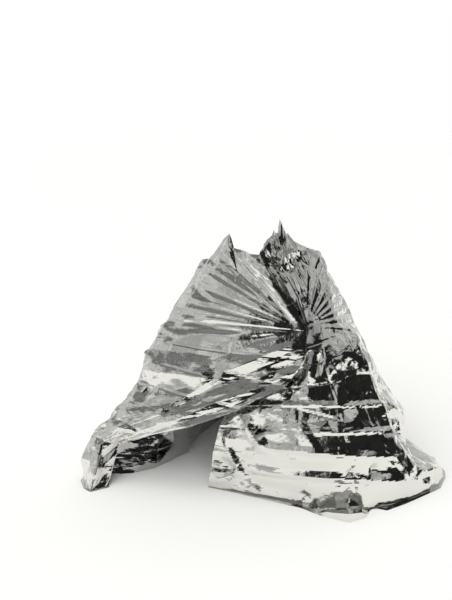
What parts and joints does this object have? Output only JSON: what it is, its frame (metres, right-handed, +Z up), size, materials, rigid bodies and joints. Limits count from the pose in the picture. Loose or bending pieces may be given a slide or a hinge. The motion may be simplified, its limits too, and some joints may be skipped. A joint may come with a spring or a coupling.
{
  "type": "emergency foil blanket",
  "caption": "Crinkled metallised-film blanket opened out and standing like a short cape, with a gathered front, a raised hem on one side and a banded skirt on the other.",
  "frame": {"origin": "on the surface the blanket stands on, under the middle of its bounding box", "axes": "+Z up, +Y away from the viewer of the gathered front, +X to that viewer's right"},
  "size_m": [1.2473, 1.0284, 0.8774],
  "materials": {
    "foil": "bright crinkled metallised film"
  },
  "bodies": {
    "root": {"blanket": "foil"}
  },
  "joints": []
}
